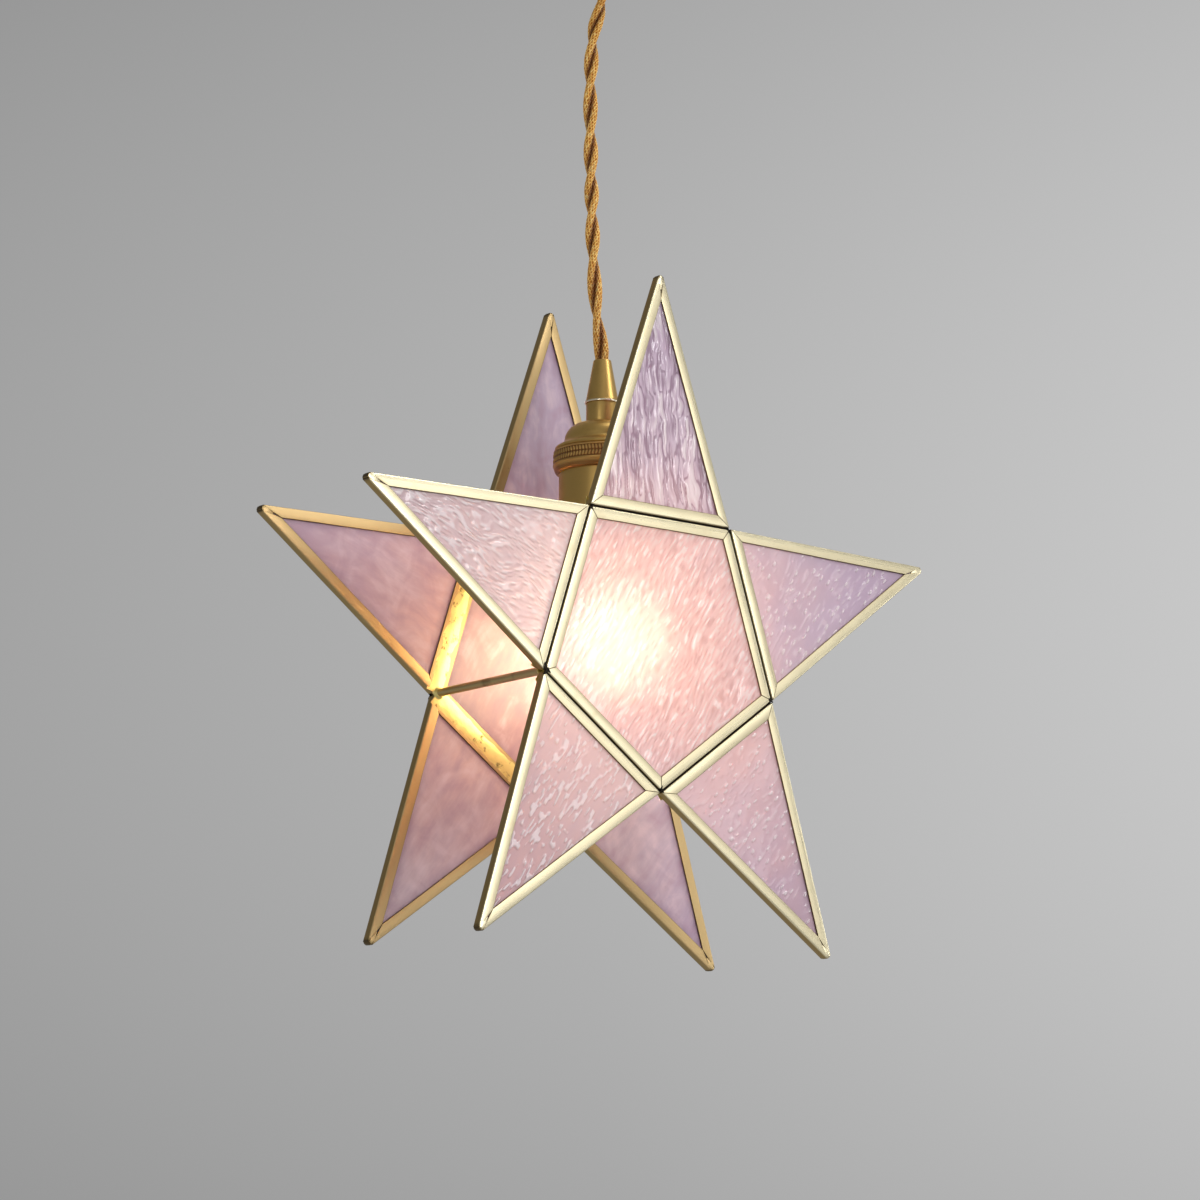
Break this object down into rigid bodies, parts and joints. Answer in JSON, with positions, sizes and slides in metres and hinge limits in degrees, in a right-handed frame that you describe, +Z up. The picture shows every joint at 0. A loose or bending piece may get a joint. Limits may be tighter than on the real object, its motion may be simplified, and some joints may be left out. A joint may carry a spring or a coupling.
{
  "type": "pendant lamp",
  "caption": "Pendant lamp: a front and a back star of rose glass panes in brass channel, joined by rods round a screw-base bulb, on a twisted textile cord from a round canopy.",
  "frame": {"origin": "on the ceiling, at the middle of the canopy and its bracket", "axes": "+Z up into the ceiling, -Y is the front of the lamp, +X to the right seen from the front"},
  "size_m": [0.2932, 0.1, 0.4611],
  "materials": {
    "star_brass": "satin, pale",
    "rod_brass": "plain",
    "holder_brass": "antique satin",
    "canopy_brass": "antique satin, spun",
    "solder": "dull",
    "rose_glass": "rippled outside, smooth inside",
    "porcelain": "plain",
    "steel": "zinc plated",
    "lead_sleeve": "plain",
    "bulb_metal": "bright",
    "bulb_black": "glossy",
    "bulb_glass": "frosted, lit",
    "stem_glass": "clear",
    "filament": "lit",
    "cord_textile": "braided, silky",
    "bush_rubber": "soft",
    "white_plastic": "plain"
  },
  "bodies": {
    "ceiling_fitting": {"canopy": "canopy_brass", "mounting_bracket": "steel", "canopy_screws": "holder_brass", "cord_grip": "holder_brass", "grip_nut": "rod_brass", "grip_screw": "holder_brass", "terminal_block": "white_plastic", "terminal_screws": "steel", "ceiling_leads": "lead_sleeve"},
    "bush": {"grip_bush": "bush_rubber"},
    "hanging_cord": {"cord": "cord_textile", "cord_cone": "holder_brass", "nipple": "rod_brass", "nipple_nut": "rod_brass"},
    "lamp": {"holder_neck": "holder_brass", "holder_cap": "holder_brass", "union_ring": "holder_brass", "holder_shell": "holder_brass", "socket_insert": "porcelain", "screw_shell": "rod_brass", "centre_contact": "rod_brass", "socket_terminals": "rod_brass", "socket_screws": "steel", "socket_leads": "lead_sleeve", "shade_ring": "holder_brass", "bridge": "rod_brass", "cross_rods": "rod_brass", "front_solder": "solder", "back_solder": "solder", "front_frame_top": "star_brass", "front_frame_upper_left": "star_brass", "front_frame_lower_left": "star_brass", "front_frame_lower_right": "star_brass", "front_frame_upper_right": "star_brass", "front_frame_centre": "star_brass", "back_frame_top": "star_brass", "back_frame_upper_left": "star_brass", "back_frame_lower_left": "star_brass", "back_frame_lower_right": "star_brass", "back_frame_upper_right": "star_brass", "back_frame_centre": "star_brass", "front_glass_top": "rose_glass", "front_glass_upper_left": "rose_glass", "front_glass_lower_left": "rose_glass", "front_glass_lower_right": "rose_glass", "front_glass_upper_right": "rose_glass", "front_glass_centre": "rose_glass", "back_glass_top": "rose_glass", "back_glass_upper_left": "rose_glass", "back_glass_lower_left": "rose_glass", "back_glass_lower_right": "rose_glass", "back_glass_upper_right": "rose_glass", "back_glass_centre": "rose_glass"},
    "bulb_contact": {"bulb_tip": "bulb_metal"},
    "bulb": {"bulb_insulator": "bulb_black", "bulb_cap": "bulb_metal", "bulb_envelope": "bulb_glass", "bulb_stem": "stem_glass", "bulb_filaments": "filament"}
  },
  "joints": [
    {"name": "swing_sideways", "type": "hinge", "parent": "ceiling_fitting", "child": "bush", "pos_m": [0, 0, -0.042], "axis": [0, 1, 0], "range_deg": [-20, 20]},
    {"name": "swing_front_back", "type": "hinge", "parent": "bush", "child": "hanging_cord", "pos_m": [0, 0, -0.042], "axis": [1, 0, 0], "range_deg": [-20, 20]},
    {"name": "turn_on_cord", "type": "hinge", "parent": "hanging_cord", "child": "lamp", "pos_m": [0, 0, -0.2295], "axis": [0, 0, 1], "range_deg": [-180, 180], "stiffness_Nm_per_rad": 0.004},
    {"name": "bulb_travel", "type": "slide", "parent": "lamp", "child": "bulb_contact", "axis": [0, 0, -1], "range_m": [0, 0.0127]},
    {"name": "bulb_screw", "type": "hinge", "parent": "bulb_contact", "child": "bulb", "pos_m": [0, 0, -0.3], "axis": [0, 0, -1], "range_deg": [0, 1260]}
  ],
  "couplings": [
    {"joint": "bulb_screw", "follows": "bulb_travel", "rad_per_m": 1730.9}
  ]
}
